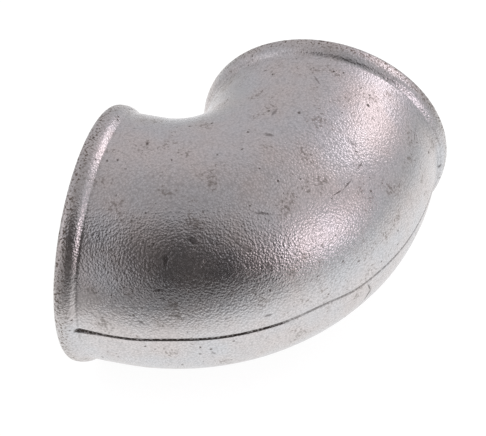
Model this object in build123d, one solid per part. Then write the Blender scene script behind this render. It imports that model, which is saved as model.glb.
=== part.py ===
from build123d import *
import os

# 90 degree pipe elbow, size 4 inch (DN 100): one hot-dip galvanised malleable iron casting with a
# beaded, internally threaded socket at each end. Sizes are millimetres.
# Port A opens towards -X and port B towards +Y. Both axes lie in the plane Z = 0, which is also the
# plane in which the two halves of the mould met. The origin is the centre of port A's mouth.

# Sockets
centre_to_face = 96.0  # from where the two port axes cross to either mouth
thread_minor_radius = 55.04  # crest of a 4 inch parallel pipe thread, 11 threads to the inch
thread_major_radius = 56.52  # root of the same thread
thread_length = 36.0  # from the mouth to the end of the threaded land
lead_in = 1.9  # 45 degree chamfer, which opens just past the thread's root

# Casting
body_radius = 62.4
wall = 5.8
throat_radius = 8.0  # outside radius of the tight inner side of the bend
bead_radius = 65.25
bead_width = 8.0  # from the mouth to the corner between the bead's top and its back
bead_slope = 3.0  # length of the back's slope down to the body
bead_nose = 3.0  # rounding at the mouth
bead_shoulder = 7.0  # rounding between the top and the slope
bead_foot = 2.2  # hollow rounding where the slope meets the body

# Mould marks
seam_depth = 0.4  # the line where the mould halves met is a shallow groove
seam_width = 1.0
gate_length = 26.0  # stub where the metal ran in, ground to a flat
gate_width = 16.0
gate_height = 0.25  # at its middle; its edges stand prouder, because the body curves away
gate_turn = 53.5  # degrees round the bend from port A to the stub
gate_drop = 19.0  # degrees below the parting line

bend_radius = throat_radius + body_radius  # of the bend's centre line
cavity_radius = body_radius - wall
leg_length = centre_to_face - bend_radius  # straight part of each end
socket_root_clearance = body_radius - thread_major_radius
assert socket_root_clearance > wall, "the wall behind the thread is thinner than the body's"

crossing = Vector(centre_to_face, 0, 0)  # where the two port axes meet
bend_centre = crossing + Vector(-bend_radius, bend_radius, 0)
bend_axis = Axis(bend_centre, (0, 0, 1))

# A port's own frame: its X axis runs from the mouth into the casting.
port_a = Location(Plane(origin=(0, 0, 0), x_dir=(1, 0, 0), z_dir=(0, 0, 1)))
port_b = Location(Plane(origin=crossing + Vector(0, centre_to_face, 0), x_dir=(0, -1, 0), z_dir=(0, 0, -1)))
ports = (port_a, port_b)


def turned(outline, fillets=()):
    """A solid turned about the port's axis from (depth, radius) points, some corners rounded."""
    face = make_face(Polyline(*outline, close=True))
    for point, radius in fillets:
        corner = face.vertices().sort_by_distance(Vector(*point, 0))[0]
        face = fillet(corner, radius)
    return revolve(face, Axis.X, 360)


def end_outside():
    """The outside of one end: straight leg and bead."""
    foot = bead_width + bead_slope
    outline = [
        (0, 0),
        (0, bead_radius),
        (bead_width, bead_radius),
        (foot, body_radius),
        (leg_length, body_radius),
        (leg_length, 0),
    ]
    fillets = [
        ((0, bead_radius), bead_nose),
        ((bead_width, bead_radius), bead_shoulder),
        ((foot, body_radius), bead_foot),
    ]
    return turned(outline, fillets)


def bend(radius):
    """A quarter turn of round bar between the two legs."""
    start = Plane(origin=(leg_length, 0, 0), x_dir=(0, 1, 0), z_dir=(1, 0, 0))
    return revolve(start * Circle(radius), bend_axis, 90)


def mould_seam():
    """The shallow groove all round the body, from bead to bead, where the mould halves met."""
    foot = bead_width + bead_slope
    rim = 1.0  # the cutter's overhang beyond the surface
    strip = Rectangle(leg_length - foot, rim + seam_depth, align=(Align.MIN, Align.MIN))
    leg = Pos(foot, body_radius - seam_depth) * strip + Pos(foot, -body_radius - rim) * strip
    ends = [port * leg for port in ports]
    outer = bend_radius + body_radius
    ring = Circle(outer + rim) - Circle(outer - seam_depth) + Circle(throat_radius + seam_depth)
    reach = outer + 2 * rim
    quarter = Pos(reach / 2, -reach / 2) * Rectangle(reach, reach)
    around = Pos(bend_centre.X, bend_centre.Y) * (ring & quarter)
    sheet = Pos(0, 0, -seam_width / 2)
    return [sheet * extrude(face, seam_width, dir=(0, 0, 1)) for face in (*ends, around)]


def gate_stub():
    """The ground-off stub of the running gate, low on the back of the bend."""
    place = (
        Location(bend_centre)
        * Rot(0, 0, gate_turn - 90)
        * Pos(bend_radius, 0, 0)
        * Rot(0, gate_drop, 0)
        * Pos(body_radius - wall / 2, 0, 0)
        * Rot(0, 90, 0)
    )
    stub = extrude(SlotOverall(gate_length, gate_width, rotation=90), wall / 2 + gate_height)
    top = stub.edges().group_by(Axis.Z)[-1]
    return place * fillet(top, gate_height)


def cavity():
    """The passage round the bend, wider than the threads so that a tap can run out into it."""
    passage = bend(cavity_radius)
    reach = 2 * centre_to_face
    behind_lands = Box(reach, reach, reach, align=(Align.MIN, Align.MAX, Align.CENTER))
    return passage & (Pos(thread_length, centre_to_face - thread_length, 0) * behind_lands)


def socket_bore():
    """The threaded socket, plain at the thread's crest, with its lead-in chamfer."""
    mouth = thread_minor_radius + lead_in
    return turned(
        [
            (0, 0),
            (0, mouth),
            (lead_in, thread_minor_radius),
            (thread_length, thread_minor_radius),
            (thread_length, 0),
        ]
    )


def elbow_casting():
    """The whole elbow: one casting."""
    solid = bend(body_radius)
    for port in ports:
        solid += port * end_outside()
    solid += gate_stub()
    for groove in mould_seam():
        solid -= groove
    solid -= cavity()
    for port in ports:
        solid -= port * socket_bore()
    return solid


os.makedirs("parts", exist_ok=True)
casting = elbow_casting()
print("bend radius", round(bend_radius, 2), "leg", round(leg_length, 2), "solids", len(casting.solids()))
print("mass in malleable iron, kg", round(casting.volume * 7.25e-6, 3))
export_step(casting, "parts/elbow_casting.step")
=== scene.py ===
import math
import bpy
from mathutils import Matrix, Vector


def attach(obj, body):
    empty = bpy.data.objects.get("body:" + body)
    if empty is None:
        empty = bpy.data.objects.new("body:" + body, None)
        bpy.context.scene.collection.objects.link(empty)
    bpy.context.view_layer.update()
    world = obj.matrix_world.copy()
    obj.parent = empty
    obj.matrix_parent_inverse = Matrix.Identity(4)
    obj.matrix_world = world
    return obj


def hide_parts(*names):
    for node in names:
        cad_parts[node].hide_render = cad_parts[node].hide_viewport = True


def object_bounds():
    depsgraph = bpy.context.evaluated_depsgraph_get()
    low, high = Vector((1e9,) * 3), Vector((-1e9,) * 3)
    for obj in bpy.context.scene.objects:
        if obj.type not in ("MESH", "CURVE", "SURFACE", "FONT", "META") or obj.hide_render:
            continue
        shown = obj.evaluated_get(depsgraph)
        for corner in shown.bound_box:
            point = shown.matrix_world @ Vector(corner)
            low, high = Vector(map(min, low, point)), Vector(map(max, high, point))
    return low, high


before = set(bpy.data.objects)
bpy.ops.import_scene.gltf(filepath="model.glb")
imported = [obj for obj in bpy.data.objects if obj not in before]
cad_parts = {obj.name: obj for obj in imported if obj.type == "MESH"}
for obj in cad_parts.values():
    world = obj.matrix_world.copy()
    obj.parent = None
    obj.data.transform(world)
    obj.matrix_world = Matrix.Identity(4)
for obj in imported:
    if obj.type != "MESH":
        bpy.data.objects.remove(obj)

cadBox = [list(corner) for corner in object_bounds()]
scene = bpy.context.scene
mm = 0.001
print("frame loaded, box", cadBox)


# Small helpers

def hexColour(text):
    # sRGB hex to the linear values that Blender's colours use
    parts = [int(text[i:i + 2], 16) / 255 for i in (0, 2, 4)]
    linear = [p / 12.92 if p <= 0.04045 else ((p + 0.055) / 1.055) ** 2.4 for p in parts]
    return (*linear, 1.0)


def addNode(tree, kind, settings=None, **sockets):
    # one node with its settings, and its inputs linked or set: in0 is the first input, any other
    # name is the input's own, with _ for a space
    node = tree.nodes.new(kind)
    for name, value in (settings or {}).items():
        setattr(node, name, value)
    for name, value in sockets.items():
        byNumber = name.startswith("in") and name[2:].isdigit()
        socket = node.inputs[int(name[2:]) if byNumber else name.replace("_", " ")]
        if isinstance(value, bpy.types.NodeSocket):
            tree.links.new(value, socket)
        else:
            socket.default_value = value
    return node


def clearSelection():
    if bpy.context.object and bpy.context.object.mode == "EDIT":
        bpy.ops.object.mode_set(mode="OBJECT")
    bpy.ops.object.select_all(action="DESELECT")


def selectOnly(piece):
    clearSelection()
    piece.select_set(True)
    bpy.context.view_layer.objects.active = piece


def applyModifier(piece, kind, **settings):
    selectOnly(piece)
    modifier = piece.modifiers.new(kind.title(), kind)
    for name, value in settings.items():
        setattr(modifier, name, value)
    bpy.ops.object.modifier_apply(modifier=modifier.name)


# The elbow's own sizes, in millimetres, as its CAD node has them

elbow = {
    "centreToFace": 96.0,
    "bodyRadius": 62.4,
    "bendRadius": 70.4,
    "wall": 5.8,
    "threadCrest": 55.04,
    "threadRoot": 56.52,
    "threadPitch": 2.3091,
    "threadLength": 36.0,
    "leadIn": 1.9,
    "boreOverrun": 1.5,  # how far the boring tool runs on past the thread
    "roundSteps": 240,
    "bendSteps": 96,
    "coreSteps": 96,
}
legLength = elbow["centreToFace"] - elbow["bendRadius"]
bendCentre = Vector((legLength, elbow["bendRadius"], 0)) * mm

# The bead, from the mouth back to the leg: depth from the mouth, radius
beadOutline = [
    (0.0, 62.6), (0.08, 63.15), (0.3, 63.7), (0.7, 64.25), (1.25, 64.7), (1.9, 65.0), (2.6, 65.17),
    (3.4, 65.24), (4.2, 65.25), (4.9, 65.22), (5.5, 65.16), (6.2, 65.04), (6.8, 64.9), (7.4, 64.72),
    (7.9, 64.53), (8.4, 64.3), (8.9, 64.02), (9.4, 63.67), (9.9, 63.28), (10.35, 62.93), (10.75, 62.67),
    (11.15, 62.5), (11.6, 62.42), (12.2, 62.4),
    (14.0, 62.4), (16.5, 62.4), (19.5, 62.4), (22.5, 62.4), (legLength, 62.4),
]


def buildSkin():
    # the outside: rings grown inwards from port A's mouth, round the bend, and out to port B's mouth
    clearSelection()
    depth, radius = beadOutline[0]
    bpy.ops.mesh.primitive_circle_add(
        vertices=elbow["roundSteps"], radius=radius * mm, location=(depth * mm, 0, 0),
        rotation=(0, math.pi / 2, 0),
    )
    skin = bpy.context.object
    skin.name = "galvanised_elbow"
    bpy.ops.object.transform_apply(location=True, rotation=True, scale=True)
    bpy.ops.object.mode_set(mode="EDIT")
    bpy.ops.mesh.select_all(action="SELECT")
    for nextDepth, nextRadius in beadOutline[1:]:
        bpy.ops.mesh.extrude_region_move(
            TRANSFORM_OT_translate={"value": ((nextDepth - depth) * mm, 0, 0)})
        scale = nextRadius / radius
        bpy.ops.transform.resize(value=(1, scale, scale), center_override=(nextDepth * mm, 0, 0))
        depth, radius = nextDepth, nextRadius
    bpy.ops.mesh.spin(
        steps=elbow["bendSteps"], angle=math.pi / 2, center=bendCentre, axis=(0, 0, -1), dupli=False)
    across = elbow["centreToFace"]
    for nextDepth, nextRadius in reversed(beadOutline[:-1]):
        bpy.ops.mesh.extrude_region_move(
            TRANSFORM_OT_translate={"value": (0, (depth - nextDepth) * mm, 0)})
        scale = nextRadius / radius
        bpy.ops.transform.resize(
            value=(scale, 1, scale), center_override=(across * mm, (across - nextDepth) * mm, 0))
        depth, radius = nextDepth, nextRadius
    bpy.ops.mesh.edge_face_add()
    bpy.ops.mesh.select_all(action="DESELECT")
    bpy.ops.object.mode_set(mode="OBJECT")
    for vertex in skin.data.vertices:
        vertex.select = abs(vertex.co.x) < 1e-6  # port A's mouth
    bpy.ops.object.mode_set(mode="EDIT")
    bpy.ops.mesh.select_mode(type="VERT")
    bpy.ops.mesh.edge_face_add()
    bpy.ops.mesh.select_all(action="SELECT")
    bpy.ops.mesh.remove_doubles(threshold=1e-6)
    bpy.ops.mesh.normals_make_consistent(inside=False)
    bpy.ops.object.mode_set(mode="OBJECT")
    return skin


# The line where the two halves of the mould met, in millimetres: a groove all round, deepest
# beside port A's bead, and a thin flash over the beads
partingLine = {
    "halfWidth": 0.95,
    "mouthMargin": 0.3,
    "strongDepth": 0.5,
    "weakDepth": 0.3,
    "strongUntil": 37.0,  # degrees round the bend
    "fadeOver": 6.0,  # degrees over which the groove gets weaker
    "notchDepth": 1.0,
    "notchFrom": 9.0,  # depth in from port A's mouth
    "notchTo": 24.0,
    "notchOpens": 3.2,
    "notchWiden": 1.2,
    "notchLip": 0.3,  # the share of the depth that it starts with
    "flashHeight": 0.1,
    "flashCrest": 4.0,
    # the middle share of the groove's width that gets painted shade
    "shadeShare": 0.6,  # of the groove's width
    "waveReach": 16.0,
    "throatWave": 0.12,  # the share of the wander that the short inner side of the bend shows
    # degrees round the bend, millimetres up
    "wave": [
        (0, -0.6), (4, -0.5), (13, 0.8), (26, 0.0), (36, 0.1), (45, 1.2), (57, -2.2), (70, -2.7),
        (86, -1.2),
    ],
}


def bendPlace(point):
    # degrees round the bend, then in millimetres the distance from the bend's axis, the height and
    # the depth from the nearer mouth
    x, y, z = point.x / mm, point.y / mm, point.z / mm
    centreX, centreY = legLength, elbow["bendRadius"]
    if x < centreX and y < centreY:
        return 0.0, centreY - y, z, x
    if y > centreY and x > centreX:
        return 90.0, x - centreX, z, elbow["centreToFace"] - y
    turned = math.degrees(math.atan2(x - centreX, centreY - y))
    along = math.radians(min(turned, 90 - turned)) * elbow["bendRadius"]
    return turned, math.hypot(x - centreX, y - centreY), z, legLength + along


def waveAt(turned):
    steps = partingLine["wave"]
    for (fromTurn, fromShift), (toTurn, toShift) in zip(steps, steps[1:]):
        if turned <= toTurn:
            share = max(0.0, (turned - fromTurn) / (toTurn - fromTurn))
            return fromShift + (toShift - fromShift) * share * share * (3 - 2 * share)
    return steps[-1][1]


def notchShare(depth):
    # the notch opens quickly behind the bead and then thins out along the leg
    opening = min(1.0, (depth - partingLine["notchFrom"]) / partingLine["notchOpens"])
    return opening * (partingLine["notchTo"] - depth) / (partingLine["notchTo"] - partingLine["notchFrom"])


def slideAlongRings(skin):
    # the mould halves never meet quite true, so the line wanders a little
    for vertex in skin.data.vertices:
        turned, out, z, depth = bendPlace(vertex.co)
        reach = 1 - abs(z) / partingLine["waveReach"]
        if reach <= 0 or depth < partingLine["notchFrom"]:
            continue
        side = out - elbow["bendRadius"]
        if turned == 0 and side > 0 and depth < partingLine["notchTo"]:
            # the notch beside the bead is wider than the rest of the line
            near = min(abs(z) / partingLine["halfWidth"], reach)
            z += math.copysign(partingLine["notchWiden"] * notchShare(depth) * near, z)
        radius = math.hypot(side, z)
        angle = math.atan2(z, side)
        slide = waveAt(turned) * reach * (1 if side > 0 else -partingLine["throatWave"]) / radius
        grown = radius * math.cos(angle + slide) - side
        vertex.co.x += grown * math.sin(math.radians(turned)) * mm
        vertex.co.y -= grown * math.cos(math.radians(turned)) * mm
        vertex.co.z = radius * math.sin(angle + slide) * mm


def cutPartingLine(skin):
    selectOnly(skin)
    bpy.ops.object.mode_set(mode="EDIT")
    bpy.ops.mesh.select_mode(type="EDGE")
    bpy.ops.mesh.select_all(action="DESELECT")
    bpy.ops.object.mode_set(mode="OBJECT")
    for edge in skin.data.edges:
        ends = [skin.data.vertices[i].co for i in edge.vertices]
        inside = [min(p.x, elbow["centreToFace"] * mm - p.y) > 1e-4 for p in ends]
        edge.select = all(inside) and all(abs(p.z) < 1e-5 for p in ends)
    bpy.ops.object.mode_set(mode="EDIT")
    bpy.ops.mesh.bevel(
        offset=partingLine["halfWidth"] * mm, offset_type="OFFSET", segments=4, affect="EDGES")
    bpy.ops.mesh.select_mode(type="VERT")
    bpy.ops.object.mode_set(mode="OBJECT")
    groove = skin.vertex_groups.new(name="parting_groove")
    flash = skin.vertex_groups.new(name="bead_flash")
    deepest = partingLine["notchDepth"]
    dirt = [0.0] * len(skin.data.vertices)
    for vertex in skin.data.vertices:
        turned, out, z, depth = bendPlace(vertex.co)
        across = abs(z) / partingLine["halfWidth"]
        if across > 0.95 or depth < partingLine["mouthMargin"]:
            continue
        rounding = 1 - across ** 2
        if depth < partingLine["notchFrom"]:
            crest = partingLine["flashCrest"]
            flash.add([vertex.index], max(0.0, 1 - abs(depth - crest) / crest) * rounding, "REPLACE")
            continue
        past = (turned - partingLine["strongUntil"]) / partingLine["fadeOver"]
        fade = min(1.0, max(0.0, past + 0.5))
        weight = partingLine["strongDepth"] * (1 - fade) + partingLine["weakDepth"] * fade
        if turned == 0 and out > elbow["bendRadius"] and depth < partingLine["notchTo"]:
            weight += (deepest - partingLine["strongDepth"]) * notchShare(depth)
            opening = (depth - partingLine["notchFrom"]) / partingLine["notchOpens"]
            weight *= min(1.0, partingLine["notchLip"] + opening)
        groove.add([vertex.index], weight / deepest * rounding, "REPLACE")
        # painted shade along the groove's middle, darker where the groove is deeper
        if across < partingLine["shadeShare"]:
            dirt[vertex.index] = min(1.0, weight / partingLine["strongDepth"])
    skin.data.attributes.new("dirt", "FLOAT", "POINT").data.foreach_set("value", dirt)
    slideAlongRings(skin)
    applyModifier(skin, "DISPLACE", vertex_group="parting_groove", mid_level=0.0, strength=-deepest * mm)
    applyModifier(skin, "DISPLACE", vertex_group="bead_flash", mid_level=0.0,
                  strength=partingLine["flashHeight"] * mm)


# The ground stub of the running gate, an oval on the outside of the bend
gatePad = {
    "turn": 52.5,  # degrees round the bend
    "halfTurn": 6.0,
    "lean": -15.0,  # degrees up from the parting line
    "halfLean": 11.0,
    "height": 0.3,  # mm
    "outerReach": 1.25,  # as a share of the half sizes
    "edge": 0.35,
}

# The foundry's unevenness, in millimetres: how far it sinks below the true surface, and the size
# of a swelling
castSurface = {
    "swellHeight": 0.22,
    "swellSize": 30.0,
    "ripple": 0.06,
    "rippleSize": 12.0,
    "quietUntil": 1.0,  # depth from the mouth over which the machined face keeps it flat
    "growsOver": 3.0,
}


def roughenSkin(skin, name, height, size):
    waves = bpy.data.textures.new(name, "CLOUDS")
    waves.noise_scale = size * mm
    waves.noise_depth = 1
    applyModifier(skin, "DISPLACE", texture=waves, texture_coords="LOCAL", vertex_group="cast_skin",
                  mid_level=1.0, strength=height * mm)


def raiseGatePad(skin):
    # the stub where the metal ran in, ground nearly flush
    group = skin.vertex_groups.new(name="gate_pad")
    for vertex in skin.data.vertices:
        turned, out, z, _ = bendPlace(vertex.co)
        if out < elbow["bendRadius"]:
            continue
        lean = math.degrees(math.atan2(z, out - elbow["bendRadius"]))
        offTurn = (turned - gatePad["turn"]) / gatePad["halfTurn"]
        offLean = (lean - gatePad["lean"]) / gatePad["halfLean"]
        weight = (gatePad["outerReach"] - math.hypot(offTurn, offLean)) / gatePad["edge"]
        if weight > 0:
            group.add([vertex.index], min(1.0, weight), "REPLACE")
    applyModifier(skin, "DISPLACE", vertex_group="gate_pad", mid_level=0.0,
                  strength=gatePad["height"] * mm)


def castUnevenness(skin):
    group = skin.vertex_groups.new(name="cast_skin")
    for vertex in skin.data.vertices:
        depth = bendPlace(vertex.co)[3]
        weight = min(1.0, (depth - castSurface["quietUntil"]) / castSurface["growsOver"])
        if weight > 0:
            group.add([vertex.index], weight, "REPLACE")
    roughenSkin(skin, "swells", castSurface["swellHeight"], castSurface["swellSize"])
    roughenSkin(skin, "ripples", castSurface["ripple"], castSurface["rippleSize"])


def buildCore():
    # the sand core that left the passage: a bar round the bend, cut square behind the threaded lands
    clearSelection()
    hollow = (elbow["bodyRadius"] - elbow["wall"]) * mm
    bpy.ops.mesh.primitive_circle_add(
        vertices=elbow["coreSteps"], radius=hollow, location=(legLength * mm, 0, 0),
        rotation=(0, math.pi / 2, 0),
    )
    core = bpy.context.object
    core.name = "sand_core"
    bpy.ops.object.transform_apply(location=True, rotation=True, scale=True)
    bpy.ops.object.mode_set(mode="EDIT")
    bpy.ops.mesh.select_all(action="SELECT")
    bpy.ops.mesh.spin(
        steps=elbow["coreSteps"] // 2, angle=math.pi / 2, center=bendCentre, axis=(0, 0, -1), dupli=False)
    behindA = elbow["threadLength"] * mm
    behindB = (elbow["centreToFace"] - elbow["threadLength"]) * mm
    bpy.ops.mesh.select_all(action="SELECT")
    bpy.ops.mesh.bisect(
        plane_co=(behindA, 0, 0), plane_no=(1, 0, 0), clear_inner=True, threshold=1e-7)
    bpy.ops.mesh.select_all(action="SELECT")
    bpy.ops.mesh.bisect(
        plane_co=(0, behindB, 0), plane_no=(0, 1, 0), clear_outer=True, threshold=1e-7)
    bpy.ops.mesh.select_all(action="SELECT")
    bpy.ops.mesh.fill_holes(sides=0)
    bpy.ops.mesh.select_all(action="SELECT")
    bpy.ops.mesh.normals_make_consistent(inside=False)
    bpy.ops.object.mode_set(mode="OBJECT")
    return core


def buildBore():
    # what the boring tool takes out of a socket, with the lead-in chamfer
    clearSelection()
    crest = elbow["threadCrest"]
    outside = 1.0  # the tool starts this far outside the mouth, and as much wider
    widest = crest + elbow["leadIn"] + outside
    bpy.ops.mesh.primitive_circle_add(
        vertices=elbow["roundSteps"], radius=widest * mm, location=(-outside * mm, 0, 0),
        rotation=(0, math.pi / 2, 0))
    bore = bpy.context.object
    bore.name = "boring_tool"
    bpy.ops.object.transform_apply(location=True, rotation=True, scale=True)
    bpy.ops.object.mode_set(mode="EDIT")
    bpy.ops.mesh.select_all(action="SELECT")
    bpy.ops.mesh.edge_face_add()
    run = (outside + elbow["leadIn"]) * mm
    bpy.ops.mesh.extrude_region_move(TRANSFORM_OT_translate={"value": (run, 0, 0)})
    scale = crest / widest
    bpy.ops.transform.resize(value=(1, scale, scale), center_override=(elbow["leadIn"] * mm, 0, 0))
    run = (elbow["threadLength"] + elbow["boreOverrun"] - elbow["leadIn"]) * mm
    bpy.ops.mesh.extrude_region_move(TRANSFORM_OT_translate={"value": (run, 0, 0)})
    bpy.ops.mesh.select_all(action="SELECT")
    bpy.ops.mesh.normals_make_consistent(inside=False)
    bpy.ops.object.mode_set(mode="OBJECT")
    return bore


# The tap's tooth: 55 degrees between its flanks, with a rounded tip
tapTooth = {
    "flankAngle": 27.5,
    "sharpTip": 0.16,  # what the rounding leaves off, as a share of the pitch
    "tipRounding": 0.13,
    "footDepth": 0.34,  # how far the tooth reaches into the open bore
    "turnsOutside": 1.2,
    "steps": 96,  # in one turn
}


def buildTap():
    # the tooth wound right-handed from outside the mouth
    clearSelection()
    pitch = elbow["threadPitch"]
    apex = elbow["threadRoot"] + pitch * tapTooth["sharpTip"]
    slope = math.tan(math.radians(tapTooth["flankAngle"]))
    low = elbow["threadCrest"] - tapTooth["footDepth"]
    tip = elbow["threadRoot"] - tapTooth["tipRounding"]
    outline = [
        (-(apex - low) * slope, low), (-(apex - tip) * slope, tip), (0, elbow["threadRoot"]),
        ((apex - tip) * slope, tip), ((apex - low) * slope, low),
    ]
    start = -tapTooth["turnsOutside"] * pitch
    bpy.ops.mesh.primitive_circle_add(vertices=len(outline), radius=mm, location=(0, 0, 0))
    tap = bpy.context.object
    tap.name = "tap"
    for vertex, (along, radius) in zip(tap.data.vertices, outline):
        vertex.co = ((start + along) * mm, 0, radius * mm)
    turns = math.ceil((elbow["threadLength"] - start) / pitch)
    applyModifier(tap, "SCREW", axis="X", angle=2 * math.pi, screw_offset=pitch * mm, iterations=turns,
                  steps=tapTooth["steps"], render_steps=tapTooth["steps"], use_smooth_shade=False)
    bpy.ops.object.mode_set(mode="EDIT")
    bpy.ops.mesh.select_all(action="SELECT")
    bpy.ops.mesh.remove_doubles(threshold=1e-7)
    bpy.ops.mesh.fill_holes(sides=0)
    bpy.ops.mesh.select_all(action="SELECT")
    bpy.ops.mesh.normals_make_consistent(inside=False)
    bpy.ops.object.mode_set(mode="OBJECT")
    return tap


def copyToPortB(piece):
    # the same tool set up on port B: a quarter turn and a shift, its own mesh
    selectOnly(piece)
    bpy.ops.object.duplicate(linked=False)
    twin = bpy.context.object
    twin.matrix_world = (
        Matrix.Translation(Vector((elbow["centreToFace"], elbow["centreToFace"], 0)) * mm)
        @ Matrix.Rotation(-math.pi / 2, 4, "Z"))
    bpy.ops.object.transform_apply(location=True, rotation=True, scale=True)
    return twin


def cutAway(skin, tool):
    applyModifier(skin, "BOOLEAN", operation="DIFFERENCE", solver="MANIFOLD", object=tool)
    bpy.data.objects.remove(tool)


skin = buildSkin()
print("skin grown,", len(skin.data.polygons), "faces")
cutPartingLine(skin)
print("parting line cut,", len(skin.data.polygons), "faces")
raiseGatePad(skin)
castUnevenness(skin)
print("cast surface roughened")
cutAway(skin, buildCore())
print("core taken out,", len(skin.data.polygons), "faces")
bore = buildBore()
cutAway(skin, copyToPortB(bore))
cutAway(skin, bore)
print("sockets bored,", len(skin.data.polygons), "faces")
tap = buildTap()
cutAway(skin, copyToPortB(tap))
cutAway(skin, tap)
print("threads cut,", len(skin.data.polygons), "faces")
selectOnly(skin)
bpy.ops.object.shade_smooth_by_angle(angle=math.radians(32))
skin.data.calc_loop_triangles()
print("triangles", len(skin.data.loop_triangles))


# Materials

# Hot-dip galvanised malleable iron. The eye sees a satin silver-grey metal with a fine sand grain under
# the zinc, which sparkles where the reflection changes fast, small dark pits and stains, hairline
# handling marks, and duller, speckled beads where the zinc is rubbed. Painted shade darkens the parting
# groove, the crease behind each bead and the edge of the gate pad.
zincFinish = {
    "coolColour": "cbcccf",
    "warmColour": "d1cccb",
    "pitColour": "625b57",
    "stainColour": "8a8480",
    "rubColour": "c2bcb7",
    "rimSpeckColour": "7b726b",
    # the colour of the painted shade in the parting groove and in the crease behind each bead
    "dirtColour": "3d3733",
    # the colour of the scratches and of the painted shade along the gate pad's edge
    "scratchAndShadeColour": "4d4643",
    "roughness": 0.23,
    # the rest in millimetres
    "grainSize": 0.85,  # real sand grain is nearer 0.4, drawn coarser so that it shows
    "grainHeight": 0.19,
    "pitSpacing": 5.0,  # between possible pits
    "pitDepth": 0.12,
    "markDepth": 0.12,
    "cloudSize": 24.0,
    "fleckSize": 1.1,
    "stainSize": 1.5,
    "stainGroupSize": 12.0,
    "wobbleSize": 1.2,
    "wobbleReach": 0.7,
    "rimDepth": 9.0,
    "creaseA": 11.2,  # in from port A's mouth
    "creaseB": 9.7,
    "creaseHalfWidth": 0.8,
    "creasePatchSize": 16.0,
}

# Scratches, scuffs, and painted shade along the edge of the ground gate pad. Each runs between two places
# on the skin: millimetres along the centre line from port A's mouth, degrees up from the outer parting
# line.
# Width is about half the mark's real width, in millimetres.
scratchesAndGateShade = [
    # the first three draw the dark crescent along the gate pad's edge: painted shade
    {"start": (97.5, -4), "end": (99.5, -12), "width": 0.6, "dark": 0.8},
    {"start": (99.5, -11), "end": (98, -18), "width": 1.1, "dark": 0.95},
    {"start": (98, -17), "end": (96, -26), "width": 0.7, "dark": 0.8},
    {"start": (94, 48), "end": (99, 47.5), "width": 0.4, "dark": 0.7},
    {"start": (98.5, 47.3), "end": (104, 48.5), "width": 0.4, "dark": 0.7},
    {"start": (107, 50), "end": (111, 50.5), "width": 0.5, "dark": 0.6},
    {"start": (141, 35.5), "end": (132, 33.5), "width": 0.4, "dark": 0.5},
    {"start": (136.5, 90.5), "end": (131.5, 86.5), "width": 0.5, "dark": 0.6},
    {"start": (100.5, 95.5), "end": (105.5, 96.5), "width": 0.9, "dark": 0.5},
    {"start": (89, 88.5), "end": (91, 85.5), "width": 0.9, "dark": 0.55},
    {"start": (112.5, 62), "end": (113.5, 57), "width": 1.1, "dark": 0.4},
    {"start": (69, 55.5), "end": (74.5, 52.5), "width": 0.6, "dark": 0.6},
    {"start": (48, 50), "end": (50, 47), "width": 1.3, "dark": 0.45},
    {"start": (41.5, 42), "end": (41.5, 38.5), "width": 1.3, "dark": 0.5},
    {"start": (38, 27), "end": (41, 28), "width": 0.8, "dark": 0.6},
    {"start": (66, 8), "end": (68, 7.5), "width": 0.7, "dark": 0.6},
    {"start": (34, 12), "end": (35.5, 10), "width": 0.8, "dark": 0.5},
    {"start": (52, -10), "end": (53, -13), "width": 0.8, "dark": 0.4},
]


def onSkin(along, lean):
    # the point of the outside surface at this place along the centre line and round the section
    side = elbow["bodyRadius"] * math.cos(math.radians(lean))
    height = elbow["bodyRadius"] * math.sin(math.radians(lean))
    inBend = min(elbow["bendRadius"] * math.pi / 2, max(0.0, along - legLength))
    turned = inBend / elbow["bendRadius"]
    beyond = along - legLength - inBend  # below zero on port A's leg, above zero on port B's
    out = elbow["bendRadius"] + side
    x = legLength + out * math.sin(turned) + beyond * math.cos(turned)
    y = elbow["bendRadius"] - out * math.cos(turned) + beyond * math.sin(turned)
    return Vector((x, y, height)) * mm


def perMetre(millimetres):
    # a texture scale that gives features of this size on Object coordinates, which are in metres
    return 1000.0 / millimetres


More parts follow.
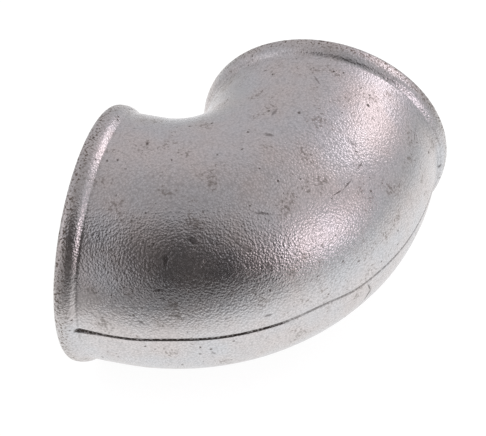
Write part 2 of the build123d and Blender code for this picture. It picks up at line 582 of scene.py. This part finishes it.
def buildZinc(name, finish):
    material = bpy.data.materials.new(name)
    material.use_nodes = True
    tree = material.node_tree
    shader = tree.nodes["Principled BSDF"]
    place = addNode(tree, "ShaderNodeTexCoord").outputs["Object"]
    smooth = {"interpolation_type": "SMOOTHSTEP"}
    mix = {"data_type": "RGBA"}

    # tonal clouds, and the grain's own light and shade: rounded grains among finer noise
    clouds = addNode(tree, "ShaderNodeTexNoise", Vector=place, Scale=perMetre(finish["cloudSize"]),
                     Detail=3.0)
    cool = addNode(tree, "ShaderNodeMapRange", Value=clouds.outputs["Fac"], From_Min=0.35, From_Max=0.65)
    tint = addNode(tree, "ShaderNodeMix", mix, in0=cool.outputs["Result"],
                   in6=hexColour(finish["coolColour"]), in7=hexColour(finish["warmColour"]))
    grain = addNode(tree, "ShaderNodeTexNoise", Vector=place, Scale=perMetre(finish["grainSize"]),
                    Detail=2.0, Distortion=0.7)
    sand = addNode(tree, "ShaderNodeTexVoronoi", Vector=place, Scale=perMetre(1.3 * finish["grainSize"]))
    soft = addNode(tree, "ShaderNodeMath", {"operation": "MULTIPLY"}, in0=grain.outputs["Fac"], in1=0.6)
    peel = addNode(tree, "ShaderNodeMath", {"operation": "MULTIPLY_ADD"},
                   in0=sand.outputs["Distance"], in1=-0.65, in2=soft.outputs[0])
    mottle = addNode(tree, "ShaderNodeMapRange", Value=peel.outputs[0],
                     From_Min=-0.3, From_Max=0.3, To_Min=0.8, To_Max=1.15)
    shade = addNode(tree, "ShaderNodeVectorMath", {"operation": "SCALE"},
                    in0=tint.outputs[2], Scale=mottle.outputs["Result"])

    # the rubbed beads, duller and speckled
    axes = addNode(tree, "ShaderNodeSeparateXYZ", Vector=place)
    depthB = addNode(tree, "ShaderNodeMath", {"operation": "SUBTRACT"}, in0=elbow["centreToFace"] * mm,
                     in1=axes.outputs["Y"])
    depth = addNode(tree, "ShaderNodeMath", {"operation": "MINIMUM"}, in0=axes.outputs["X"],
                    in1=depthB.outputs[0])
    rim = addNode(tree, "ShaderNodeMapRange", smooth, Value=depth.outputs[0],
                  From_Min=0.4 * finish["rimDepth"] * mm, From_Max=finish["rimDepth"] * mm,
                  To_Min=1.0, To_Max=0.0)
    flecks = addNode(tree, "ShaderNodeTexNoise", Vector=place, Scale=perMetre(finish["fleckSize"]),
                     Detail=3.0)
    fleck = addNode(tree, "ShaderNodeMapRange", smooth, Value=flecks.outputs["Fac"], From_Min=0.51,
                    From_Max=0.63)
    rimFleck = addNode(tree, "ShaderNodeMath", {"operation": "MULTIPLY"}, in0=rim.outputs["Result"],
                       in1=fleck.outputs["Result"])
    dullRim = addNode(tree, "ShaderNodeMath", {"operation": "MULTIPLY"}, in0=rim.outputs["Result"],
                      in1=0.35)
    rubbed = addNode(tree, "ShaderNodeMix", mix, in0=dullRim.outputs[0], in6=shade.outputs[0],
                     in7=hexColour(finish["rubColour"]))
    colour = addNode(tree, "ShaderNodeMix", mix, in0=rimFleck.outputs[0], in6=rubbed.outputs[2],
                     in7=hexColour(finish["rimSpeckColour"]))

    # pushed coordinates, so that no pit or stain is round
    wobble = addNode(tree, "ShaderNodeTexNoise", Vector=place, Scale=perMetre(finish["wobbleSize"]),
                     Detail=2.0)
    wander = finish["wobbleReach"] * mm
    pushedBy = Vector((wander, wander, wander))  # on average, because the noise is 0.5 on average
    push = addNode(tree, "ShaderNodeVectorMath", {"operation": "MULTIPLY_ADD"},
                   in0=wobble.outputs["Color"], in1=2 * pushedBy, in2=place)

    # painted shade in the crease behind each bead, broken up
    pushed = addNode(tree, "ShaderNodeSeparateXYZ", Vector=push.outputs[0])
    offA = addNode(tree, "ShaderNodeMath", {"operation": "SUBTRACT"}, in0=pushed.outputs["X"],
                   in1=finish["creaseA"] * mm + wander)
    offB = addNode(tree, "ShaderNodeMath", {"operation": "SUBTRACT"},
                   in0=(elbow["centreToFace"] - finish["creaseB"]) * mm + wander, in1=pushed.outputs["Y"])
    farA = addNode(tree, "ShaderNodeMath", {"operation": "ABSOLUTE"}, in0=offA.outputs[0])
    farB = addNode(tree, "ShaderNodeMath", {"operation": "ABSOLUTE"}, in0=offB.outputs[0])
    off = addNode(tree, "ShaderNodeMath", {"operation": "MINIMUM"}, in0=farA.outputs[0],
                  in1=farB.outputs[0])
    crease = addNode(tree, "ShaderNodeMapRange", smooth, Value=off.outputs[0], From_Min=0.1 * mm,
                     From_Max=finish["creaseHalfWidth"] * mm, To_Min=0.42, To_Max=0.0)
    creaseShadeBreakup = addNode(tree, "ShaderNodeTexNoise", Vector=place, Scale=perMetre(finish["creasePatchSize"]),
                     Detail=6.0, Roughness=0.65)
    creaseShadeKept = addNode(tree, "ShaderNodeMapRange", Value=creaseShadeBreakup.outputs["Fac"], From_Min=0.46, From_Max=0.7)
    creaseShade = addNode(tree, "ShaderNodeMath", {"operation": "MULTIPLY"}, in0=crease.outputs["Result"],
                      in1=creaseShadeKept.outputs["Result"])
    colour = addNode(tree, "ShaderNodeMix", mix, in0=creaseShade.outputs[0], in6=colour.outputs[2],
                     in7=hexColour(finish["dirtColour"]))

    # grey stains in loose groups
    groups = addNode(tree, "ShaderNodeTexNoise", Vector=place, Scale=perMetre(finish["stainGroupSize"]),
                     Detail=1.0)
    specks = addNode(tree, "ShaderNodeTexNoise", Vector=push.outputs[0],
                     Scale=perMetre(finish["stainSize"]), Detail=3.0)
    both = addNode(tree, "ShaderNodeMath", {"operation": "MULTIPLY"}, in0=groups.outputs["Fac"],
                   in1=specks.outputs["Fac"])
    stain = addNode(tree, "ShaderNodeMapRange", smooth, Value=both.outputs[0], From_Min=0.33,
                    From_Max=0.43, To_Max=0.7)
    colour = addNode(tree, "ShaderNodeMix", mix, in0=stain.outputs["Result"], in6=colour.outputs[2],
                     in7=hexColour(finish["stainColour"]))

    # pits: some of the cells, each of its own size
    cells = addNode(tree, "ShaderNodeTexVoronoi", Vector=push.outputs[0],
                    Scale=perMetre(finish["pitSpacing"]))
    chosen = addNode(tree, "ShaderNodeSeparateColor", Color=cells.outputs["Color"])
    size = addNode(tree, "ShaderNodeMapRange", Value=chosen.outputs["Red"], From_Min=0.45, From_Max=1.0,
                   To_Min=0.0, To_Max=0.17)
    nearness = addNode(tree, "ShaderNodeMath", {"operation": "SUBTRACT"}, in0=size.outputs["Result"],
                       in1=cells.outputs["Distance"])
    pit = addNode(tree, "ShaderNodeMapRange", smooth, Value=nearness.outputs[0], From_Min=-0.05,
                  From_Max=0.07, To_Max=0.8)
    colour = addNode(tree, "ShaderNodeMix", mix, in0=pit.outputs["Result"], in6=colour.outputs[2],
                     in7=hexColour(finish["pitColour"]))

    # painted shade in the parting groove, darker where the groove is deeper, broken up
    dirt = addNode(tree, "ShaderNodeAttribute", {"attribute_name": "dirt"})
    patchy = addNode(tree, "ShaderNodeMapRange", Value=flecks.outputs["Fac"], From_Min=0.4, From_Max=0.5,
                     To_Min=0.5, To_Max=1.0)
    filled = addNode(tree, "ShaderNodeMath", {"operation": "MULTIPLY"}, in0=dirt.outputs["Fac"],
                     in1=patchy.outputs["Result"])
    colour = addNode(tree, "ShaderNodeMix", mix, in0=filled.outputs[0], in6=colour.outputs[2],
                     in7=hexColour(finish["dirtColour"]))

    # each mark darkens a long thin ellipsoid about its line: scratches and scuffs, and painted shade along
    # the gate pad's edge
    scratchAndShadeMask = None
    for mark in scratchesAndGateShade:
        start = onSkin(*mark["start"])
        run = onSkin(*mark["end"]) - start
        width = 1.4 * mark["width"] * mm
        local = addNode(tree, "ShaderNodeMapping", {"vector_type": "TEXTURE"}, Vector=push.outputs[0],
                        Location=start + run / 2 + pushedBy,
                        Rotation=run.to_track_quat("X", "Z").to_euler(),
                        Scale=(0.55 * run.length + width, width, width))
        reach = addNode(tree, "ShaderNodeVectorMath", {"operation": "LENGTH"}, in0=local.outputs[0])
        markDarkness = addNode(tree, "ShaderNodeMapRange", smooth, Value=reach.outputs["Value"],
                         From_Min=0.35, From_Max=1.0, To_Min=mark["dark"], To_Max=0.0)
        if scratchAndShadeMask is None:
            scratchAndShadeMask = markDarkness.outputs["Result"]
        else:
            scratchAndShadeMask = addNode(tree, "ShaderNodeMath", {"operation": "MAXIMUM"}, in0=scratchAndShadeMask,
                             in1=markDarkness.outputs["Result"]).outputs[0]
    colour = addNode(tree, "ShaderNodeMix", mix, in0=scratchAndShadeMask, in6=colour.outputs[2],
                     in7=hexColour(finish["scratchAndShadeColour"]))

    tree.links.new(colour.outputs[2], shader.inputs["Base Color"])
    shader.inputs["Metallic"].default_value = 1.0

    # sheen: smoother and rougher patches, dull pits and rims
    patches = addNode(tree, "ShaderNodeMapRange", Value=clouds.outputs["Fac"], From_Min=0.3, From_Max=0.7,
                      To_Min=finish["roughness"] - 0.04, To_Max=finish["roughness"] + 0.06)
    dull = addNode(tree, "ShaderNodeMath", {"operation": "MULTIPLY_ADD"}, in0=pit.outputs["Result"],
                   in1=0.35, in2=patches.outputs["Result"])
    dullest = addNode(tree, "ShaderNodeMath", {"operation": "MULTIPLY_ADD"}, in0=rimFleck.outputs[0],
                      in1=0.25, in2=dull.outputs[0])
    tree.links.new(dullest.outputs[0], shader.inputs["Roughness"])

    # relief: sand grain, pits, marks
    grainStep = addNode(tree, "ShaderNodeBump", Height=peel.outputs[0],
                        Distance=finish["grainHeight"] * mm, Strength=1.0)
    pitStep = addNode(tree, "ShaderNodeBump", {"invert": True}, Height=pit.outputs["Result"],
                      Distance=finish["pitDepth"] * mm, Strength=1.0, Normal=grainStep.outputs[0])
    markStep = addNode(tree, "ShaderNodeBump", {"invert": True}, Height=scratchAndShadeMask,
                       Distance=finish["markDepth"] * mm, Strength=1.0, Normal=pitStep.outputs[0])
    tree.links.new(markStep.outputs[0], shader.inputs["Normal"])
    return material


# Cut iron, left bare inside the mouths. The eye sees a darker, slightly oily grey with fine turning rings
# that follow the cut, and a faint brown bloom.
cutFinish = {
    "colour": "9a9691",
    "bloomColour": "857b70",
    "roughness": 0.34,
    "bloomSize": 9.0,
    "ringSpacing": 0.35,  # mm, the feed of the tool
    "ringHeight": 0.01,
}


def buildCutIron(finish):
    material = bpy.data.materials.new("machined_malleable_iron")
    material.use_nodes = True
    tree = material.node_tree
    shader = tree.nodes["Principled BSDF"]
    place = addNode(tree, "ShaderNodeTexCoord").outputs["Object"]
    bloom = addNode(tree, "ShaderNodeTexNoise", Vector=place, Scale=perMetre(finish["bloomSize"]),
                    Detail=4.0)
    share = addNode(tree, "ShaderNodeMapRange", Value=bloom.outputs["Fac"], From_Min=0.42, From_Max=0.7,
                    To_Max=0.8)
    colour = addNode(tree, "ShaderNodeMix", {"data_type": "RGBA"}, in0=share.outputs["Result"],
                     in6=hexColour(finish["colour"]), in7=hexColour(finish["bloomColour"]))
    tree.links.new(colour.outputs[2], shader.inputs["Base Color"])
    shader.inputs["Metallic"].default_value = 1.0
    dull = addNode(tree, "ShaderNodeMath", {"operation": "MULTIPLY_ADD"}, in0=share.outputs["Result"],
                   in1=0.15, in2=finish["roughness"])
    tree.links.new(dull.outputs[0], shader.inputs["Roughness"])

    # the tool's rings: distance from port A's axis or from port B's, whichever is nearer
    axes = addNode(tree, "ShaderNodeSeparateXYZ", Vector=place)
    shiftB = addNode(tree, "ShaderNodeMath", {"operation": "SUBTRACT"}, in0=axes.outputs["X"],
                     in1=elbow["centreToFace"] * mm)
    mouthA = addNode(tree, "ShaderNodeCombineXYZ", X=axes.outputs["Y"], Y=axes.outputs["Z"])
    mouthB = addNode(tree, "ShaderNodeCombineXYZ", X=shiftB.outputs[0], Y=axes.outputs["Z"])
    reachA = addNode(tree, "ShaderNodeVectorMath", {"operation": "LENGTH"}, in0=mouthA.outputs[0])
    reachB = addNode(tree, "ShaderNodeVectorMath", {"operation": "LENGTH"}, in0=mouthB.outputs[0])
    reach = addNode(tree, "ShaderNodeMath", {"operation": "MINIMUM"}, in0=reachA.outputs["Value"],
                    in1=reachB.outputs["Value"])
    turns = addNode(tree, "ShaderNodeMath", {"operation": "MULTIPLY"}, in0=reach.outputs[0],
                    in1=perMetre(finish["ringSpacing"]))
    ring = addNode(tree, "ShaderNodeMath", {"operation": "PINGPONG"}, in0=turns.outputs[0], in1=0.5)
    ringStep = addNode(tree, "ShaderNodeBump", Height=ring.outputs[0], Distance=finish["ringHeight"] * mm,
                       Strength=1.0)
    tree.links.new(ringStep.outputs[0], shader.inputs["Normal"])
    return material


# Which faces were cut by a tool, in millimetres: a little beyond the thread's root and its length
cutReach = {"beyondRoot": 0.7, "beyondThread": 0.3}


def paintSkin(skin):
    skin.data.materials.clear()  # cutting away leaves an empty slot
    skin.data.materials.append(buildZinc("hot_dip_zinc", zincFinish))
    coredFinish = {**zincFinish, "roughness": 0.38, "grainHeight": 0.26, "rimDepth": 0.1}
    skin.data.materials.append(buildZinc("hot_dip_zinc_on_cored_face", coredFinish))
    skin.data.materials.append(buildCutIron(cutFinish))
    boredRadius = elbow["threadRoot"] + cutReach["beyondRoot"]
    boredDepth = elbow["threadLength"] + cutReach["beyondThread"]
    for face in skin.data.polygons:
        _, out, z, depth = bendPlace(face.center)
        fromCentreLine = math.hypot(out - elbow["bendRadius"], z)
        onMouth = depth < 0.01
        if onMouth or (fromCentreLine < boredRadius and depth < boredDepth):
            face.material_index = 2
        elif fromCentreLine < elbow["bodyRadius"] - 0.5 * elbow["wall"]:
            face.material_index = 1
        else:
            face.material_index = 0


paintSkin(skin)
print("painted", [m.name for m in skin.data.materials])

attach(skin, "root")
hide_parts("elbow_casting")

# Floor, lights and surroundings

# A light table: opal acrylic lit from beneath, brightest under the piece and fading outwards,
# most of all towards the camera. Sizes and places in metres.
studio = {
    "floorSize": 6.0,
    "centre": (0.08, 0.015),
    "opalColour": "808080",
    "glowNear": 0.89,
    "glowFar": 0.42,
    "glowCentre": (0.08, 0.045),
    "nearRadius": 0.19,
    "farRadius": 0.42,
    "dimAt": (0.10, -0.60, 0.0),
    "dimInner": 0.30,
    "dimOuter": 0.50,
    "dimShare": 0.85,
}
clearSelection()
bpy.ops.mesh.primitive_plane_add(size=studio["floorSize"], location=(*studio["centre"], cadBox[0][2]))
floor = bpy.context.object
floor.name = "studio_floor"
bpy.ops.object.transform_apply(location=True, rotation=True, scale=True)


def buildLightTable():
    material = bpy.data.materials.new("backlit_opal_acrylic")
    material.use_nodes = True
    tree = material.node_tree
    shader = tree.nodes["Principled BSDF"]
    shader.inputs["Base Color"].default_value = hexColour(studio["opalColour"])
    shader.inputs["Roughness"].default_value = 0.9
    shader.inputs["Specular IOR Level"].default_value = 0.0
    place = addNode(tree, "ShaderNodeTexCoord").outputs["Object"]
    fromPiece = addNode(tree, "ShaderNodeVectorMath", {"operation": "DISTANCE"}, in0=place,
                        in1=(*studio["glowCentre"], cadBox[0][2]))
    fade = addNode(tree, "ShaderNodeMapRange", {"interpolation_type": "SMOOTHSTEP"},
                   Value=fromPiece.outputs["Value"],
                   From_Min=studio["nearRadius"], From_Max=studio["farRadius"],
                   To_Min=studio["glowNear"], To_Max=studio["glowFar"])
    fromDim = addNode(tree, "ShaderNodeVectorMath", {"operation": "DISTANCE"}, in0=place,
                      in1=studio["dimAt"])
    kept = addNode(tree, "ShaderNodeMapRange", {"interpolation_type": "SMOOTHSTEP"},
                   Value=fromDim.outputs["Value"],
                   From_Min=studio["dimInner"], From_Max=studio["dimOuter"],
                   To_Min=1 - studio["dimShare"], To_Max=1.0)
    glow = addNode(tree, "ShaderNodeMath", {"operation": "MULTIPLY"}, in0=fade.outputs["Result"],
                   in1=kept.outputs["Result"])
    # the camera sees it evenly lit; only the piece mirrors the fading
    seen = addNode(tree, "ShaderNodeLightPath").outputs["Is Camera Ray"]
    even = addNode(tree, "ShaderNodeMix", {"data_type": "FLOAT"}, in0=seen,
                   in2=glow.outputs[0], in3=studio["glowNear"])
    shader.inputs["Emission Color"].default_value = (1, 1, 1, 1)
    tree.links.new(even.outputs[0], shader.inputs["Emission Strength"])
    return material


floor.data.materials.append(buildLightTable())

# The surroundings: a pale room, brighter at its soft panels and dark behind the camera.
# Each spot has a direction (azimuth, elevation), an inner and an outer radius in degrees, and its colour.
surroundings = {
    "high": (0.47, 0.44, 0.44),
    "low": (0.64, 0.61, 0.625),
    "climbFrom": 0.82,  # the height, on a sphere of radius 1, where the low colour starts to change
    "seenByCamera": (1.0, 1.0, 1.0),
    "spots": [
        {"at": (-63, 1), "inner": 31, "outer": 42, "colour": (0.045, 0.04, 0.039)},
        {"at": (-47, 0), "inner": 15, "outer": 21, "colour": (0.05, 0.045, 0.044)},
        {"at": (-80, 38), "inner": 18, "outer": 36, "colour": (0.08, 0.072, 0.07)},
        {"at": (-14, 15), "inner": 16, "outer": 22, "colour": (0.85, 0.74, 0.77)},
        {"at": (-18, 15), "inner": 8, "outer": 11, "colour": (2.6, 2.3, 2.4)},
        {"at": (52, 29), "inner": 19, "outer": 31, "colour": (0.88, 0.79, 0.82)},
        {"at": (42, 31), "inner": 7, "outer": 10, "colour": (2.9, 2.6, 2.7)},
        {"at": (64, 23), "inner": 5, "outer": 8, "colour": (2.6, 2.35, 2.43)},
        {"at": (-150, 28), "inner": 10, "outer": 24, "colour": (0.98, 0.93, 0.95)},
    ],
}


def compassDirection(azimuth, elevation):
    a = math.radians(azimuth)
    e = math.radians(elevation)
    return Vector((math.cos(a) * math.cos(e), math.sin(a) * math.cos(e), math.sin(e)))


def buildWorld():
    world = bpy.data.worlds.new("soft_studio")
    scene.world = world
    world.use_nodes = True
    tree = world.node_tree
    tree.nodes.clear()
    where = addNode(tree, "ShaderNodeTexCoord").outputs["Generated"]
    height = addNode(tree, "ShaderNodeSeparateXYZ", Vector=where).outputs["Z"]
    climb = addNode(tree, "ShaderNodeMapRange", {"interpolation_type": "SMOOTHSTEP"}, Value=height,
                    From_Min=surroundings["climbFrom"], From_Max=1.0)
    colour = addNode(tree, "ShaderNodeMix", {"data_type": "RGBA"}, in0=climb.outputs["Result"],
                     in6=(*surroundings["low"], 1), in7=(*surroundings["high"], 1)).outputs[2]
    for spot in surroundings["spots"]:
        towards = addNode(tree, "ShaderNodeVectorMath", {"operation": "DOT_PRODUCT"}, in0=where,
                          in1=compassDirection(*spot["at"]))
        share = addNode(tree, "ShaderNodeMapRange", {"interpolation_type": "SMOOTHSTEP"},
                        Value=towards.outputs["Value"],
                        From_Min=math.cos(math.radians(spot["outer"])),
                        From_Max=math.cos(math.radians(spot["inner"])))
        colour = addNode(tree, "ShaderNodeMix", {"data_type": "RGBA"}, in0=share.outputs["Result"],
                         in6=colour, in7=(*spot["colour"], 1)).outputs[2]
    seen = addNode(tree, "ShaderNodeLightPath").outputs["Is Camera Ray"]
    colour = addNode(tree, "ShaderNodeMix", {"data_type": "RGBA"}, in0=seen, in6=colour,
                     in7=(*surroundings["seenByCamera"], 1)).outputs[2]
    background = addNode(tree, "ShaderNodeBackground", Color=colour, Strength=1.0)
    addNode(tree, "ShaderNodeOutputWorld", Surface=background.outputs[0])


buildWorld()
scene.view_settings.view_transform = "Standard"

# One wide lamp overhead whitens the light table; the zinc doesn't mirror it
overhead = {"size": 2.4, "height": 1.6, "power": 14.0}  # metres and watts
lampData = bpy.data.lights.new("overhead_softbox", "AREA")
lampData.shape = "SQUARE"
lampData.size = overhead["size"]
lampData.energy = overhead["power"]
lamp = bpy.data.objects.new("overhead_softbox", lampData)
scene.collection.objects.link(lamp)
lamp.location = (*studio["centre"], overhead["height"])
lamp.visible_glossy = False

# Camera

cameraSettings = {
    "azimuth": 16.275,  # degrees round from the -Y side towards +X
    "elevation": 46.869,  # degrees up
    "roll": -2.249,
    "lens": 124.319,  # mm, on a sensor 36 mm wide
    "place": (0.2314, -0.5294, 0.6178),
}
camera = bpy.data.objects.new("camera", bpy.data.cameras.new("camera"))
scene.collection.objects.link(camera)
camera.data.sensor_width = 36
camera.data.lens = cameraSettings["lens"]
camera.data.clip_start = 0.05
camera.data.clip_end = 20
turn = math.radians(cameraSettings["azimuth"])
tilt = math.radians(cameraSettings["elevation"])
roll = math.radians(cameraSettings["roll"])
back = Vector((math.sin(turn) * math.cos(tilt), -math.cos(turn) * math.cos(tilt), math.sin(tilt)))
right = Vector((math.cos(turn), math.sin(turn), 0))
up = back.cross(right)
rolledRight = right * math.cos(roll) + up * math.sin(roll)
rolledUp = up * math.cos(roll) - right * math.sin(roll)
matrix = Matrix((rolledRight, rolledUp, back)).transposed().to_4x4()
matrix.translation = Vector(cameraSettings["place"])
camera.matrix_world = matrix
scene.camera = camera
